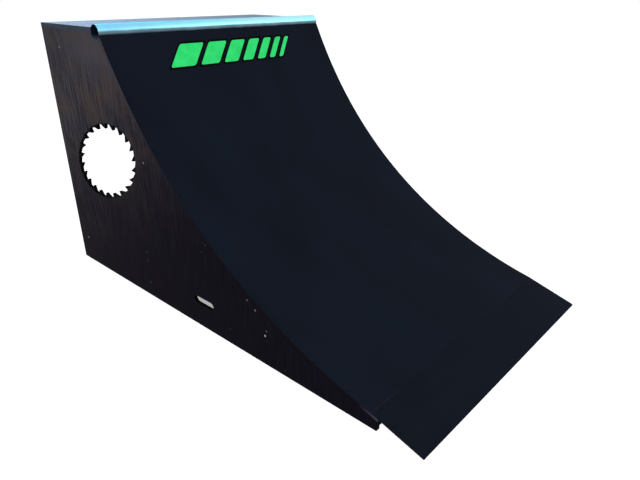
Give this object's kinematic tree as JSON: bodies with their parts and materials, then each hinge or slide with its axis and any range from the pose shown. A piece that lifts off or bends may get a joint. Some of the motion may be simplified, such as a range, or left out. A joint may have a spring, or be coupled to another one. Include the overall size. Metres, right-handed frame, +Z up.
{
  "type": "quarter pipe skate ramp",
  "caption": "Free-standing wooden quarter pipe skate ramp with a curved black riding surface, a deck, a steel coping pipe, a steel toe plate and open-backed side panels.",
  "frame": {"origin": "on the floor, in the middle of the ramp's footprint", "axes": "+X across the ramp, to the right for a rider who faces it; +Y from the toe plate to the back of the deck; +Z up"},
  "size_m": [1.22, 2.024, 1.112],
  "materials": {
    "panel": "film-faced plywood, dark, satin",
    "deck": "film-faced plywood, dark, semi-gloss",
    "riding_surface": "black resin-faced sheet, satin",
    "underlay": "birch plywood, plain",
    "timber": "planed softwood",
    "toe_plate": "powder-coated steel, black, satin",
    "coping": "zinc-plated steel pipe, satin",
    "screw": "zinc-plated steel"
  },
  "bodies": {
    "root": {"left_side_panel": "panel", "left_panel_screw_1": "screw", "left_panel_screw_2": "screw", "left_panel_screw_3": "screw", "left_panel_screw_4": "screw", "left_panel_screw_5": "screw", "left_panel_screw_6": "screw", "left_panel_screw_7": "screw", "left_panel_screw_8": "screw", "left_panel_screw_9": "screw", "left_panel_screw_10": "screw", "left_panel_screw_11": "screw", "left_panel_screw_12": "screw", "left_panel_screw_13": "screw", "right_side_panel": "panel", "right_panel_screw_1": "screw", "right_panel_screw_2": "screw", "right_panel_screw_3": "screw", "right_panel_screw_4": "screw", "right_panel_screw_5": "screw", "right_panel_screw_6": "screw", "right_panel_screw_7": "screw", "right_panel_screw_8": "screw", "right_panel_screw_9": "screw", "right_panel_screw_10": "screw", "right_panel_screw_11": "screw", "right_panel_screw_12": "screw", "right_panel_screw_13": "screw", "coping_joist": "timber", "sheet_joint_joist": "timber", "low_joist": "timber", "deck_joist_front": "timber", "deck_joist_back": "timber", "back_rail": "timber", "middle_brace": "timber", "floor_joist_1": "timber", "floor_joist_2": "timber", "floor_joist_3": "timber", "toe_rail": "timber", "transition_joist_1": "timber", "transition_joist_2": "timber", "transition_joist_3": "timber", "transition_joist_4": "timber", "transition_joist_5": "timber", "transition_joist_6": "timber", "underlay_lower": "underlay", "underlay_upper": "underlay", "riding_surface": "riding_surface", "toe_plate": "toe_plate", "deck_sheet": "deck", "coping_pipe": "coping", "toe_plate_screw_1": "screw", "toe_plate_screw_2": "screw", "toe_plate_screw_3": "screw", "toe_plate_screw_4": "screw", "toe_plate_screw_5": "screw", "coping_bolt_1": "screw", "coping_bolt_2": "screw", "coping_bolt_3": "screw"}
  },
  "joints": []
}
